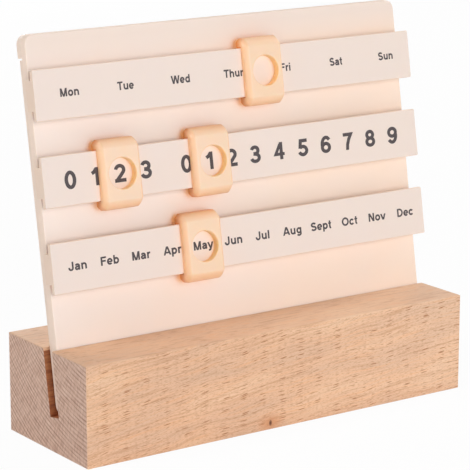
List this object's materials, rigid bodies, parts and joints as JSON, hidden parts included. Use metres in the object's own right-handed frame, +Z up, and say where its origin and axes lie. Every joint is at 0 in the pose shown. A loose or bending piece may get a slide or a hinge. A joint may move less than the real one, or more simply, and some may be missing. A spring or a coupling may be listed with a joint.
{
  "type": "perpetual desk calendar",
  "caption": "Perpetual desk calendar: cream board leaning in a slotted beech block, with windowed clips that slide along its rails to frame the weekday, the date and the month.",
  "frame": {"origin": "middle of the block's underside, on the surface that it stands on", "axes": "+X along the block to the viewer's right, +Y to the back, +Z up"},
  "size_m": [0.14, 0.045, 0.1221],
  "materials": {
    "beech": "sanded, bare, with fine short flecks",
    "board_cream": "fine satin",
    "rail_cream": "fine satin, with dark grey print",
    "slider_apricot": "smooth satin"
  },
  "bodies": {
    "base": {"wooden_base": "beech"},
    "panel": {"front_panel": "board_cream", "back_panel": "board_cream", "weekday_rail": "rail_cream", "date_rail": "rail_cream", "month_rail": "rail_cream"},
    "weekday_marker": {"weekday_slider": "slider_apricot"},
    "tens_marker": {"tens_slider": "slider_apricot"},
    "units_marker": {"units_slider": "slider_apricot"},
    "month_marker": {"month_slider": "slider_apricot"}
  },
  "joints": [
    {"name": "panel_lift", "type": "slide", "parent": "base", "child": "panel", "axis": [0, 0.1668, 0.986], "range_m": [0, 0.021]},
    {"name": "weekday_slide", "type": "slide", "parent": "panel", "child": "weekday_marker", "axis": [1, 0, 0], "range_m": [-0.0734, 0.0514]},
    {"name": "tens_slide", "type": "slide", "parent": "panel", "child": "tens_marker", "axis": [1, 0, 0], "range_m": [-0.0186, 0.0099]},
    {"name": "units_slide", "type": "slide", "parent": "panel", "child": "units_marker", "axis": [1, 0, 0], "range_m": [-0.0081, 0.0738]},
    {"name": "month_slide", "type": "slide", "parent": "panel", "child": "month_marker", "axis": [1, 0, 0], "range_m": [-0.045, 0.0798]}
  ]
}
